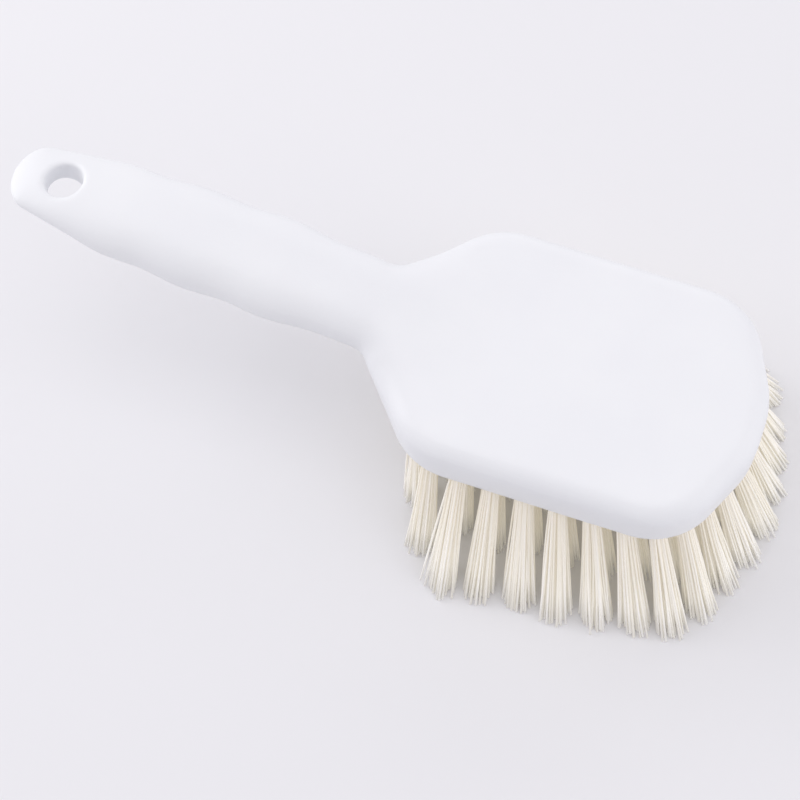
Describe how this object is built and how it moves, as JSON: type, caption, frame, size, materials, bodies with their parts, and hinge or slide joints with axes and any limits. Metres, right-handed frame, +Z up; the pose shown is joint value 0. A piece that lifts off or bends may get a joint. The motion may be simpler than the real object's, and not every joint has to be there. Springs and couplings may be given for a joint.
{
  "type": "bee brush",
  "caption": "Short-handled hand brush in white moulded plastic: wide D-shaped head of stiff ivory filament tufts that flare out, and a hanging hole at the handle's end.",
  "frame": {"origin": "middle of the footprint of the whole brush, on the ground under its bristle tips", "axes": "+X along the brush towards the nose, with the handle at -X; +Z up, out of the block's top, with the bristles pointing down; Y = 0 is the plane of symmetry"},
  "size_m": [0.2162, 0.11, 0.0697],
  "materials": {
    "block": "satin white polypropylene",
    "bristle": "ivory crimpless filament, slightly see-through",
    "anchor": "plain drawn wire"
  },
  "bodies": {
    "root": {"anchors": "anchor", "block_handle": "block", "inner_tufts": "bristle", "outer_tuft_01": "bristle", "outer_tuft_02": "bristle", "outer_tuft_03": "bristle", "outer_tuft_04": "bristle", "outer_tuft_05": "bristle", "outer_tuft_06": "bristle", "outer_tuft_07": "bristle", "outer_tuft_08": "bristle", "outer_tuft_09": "bristle", "outer_tuft_10": "bristle", "outer_tuft_11": "bristle", "outer_tuft_12": "bristle", "outer_tuft_13": "bristle", "outer_tuft_14": "bristle", "outer_tuft_15": "bristle", "outer_tuft_16": "bristle", "outer_tuft_17": "bristle", "outer_tuft_18": "bristle", "outer_tuft_19": "bristle", "outer_tuft_20": "bristle", "outer_tuft_21": "bristle", "outer_tuft_22": "bristle", "outer_tuft_23": "bristle", "outer_tuft_24": "bristle", "outer_tuft_25": "bristle", "outer_tuft_26": "bristle", "outer_tuft_27": "bristle", "outer_tuft_28": "bristle", "outer_tuft_29": "bristle", "outer_tuft_30": "bristle", "second_tuft_01": "bristle", "second_tuft_02": "bristle", "second_tuft_03": "bristle", "second_tuft_04": "bristle", "second_tuft_05": "bristle", "second_tuft_06": "bristle", "second_tuft_07": "bristle", "second_tuft_08": "bristle", "second_tuft_09": "bristle", "second_tuft_10": "bristle", "second_tuft_11": "bristle", "second_tuft_12": "bristle", "second_tuft_13": "bristle", "second_tuft_14": "bristle", "second_tuft_15": "bristle", "second_tuft_16": "bristle", "second_tuft_17": "bristle", "second_tuft_18": "bristle", "second_tuft_19": "bristle", "second_tuft_20": "bristle", "second_tuft_21": "bristle", "second_tuft_22": "bristle"}
  },
  "joints": []
}
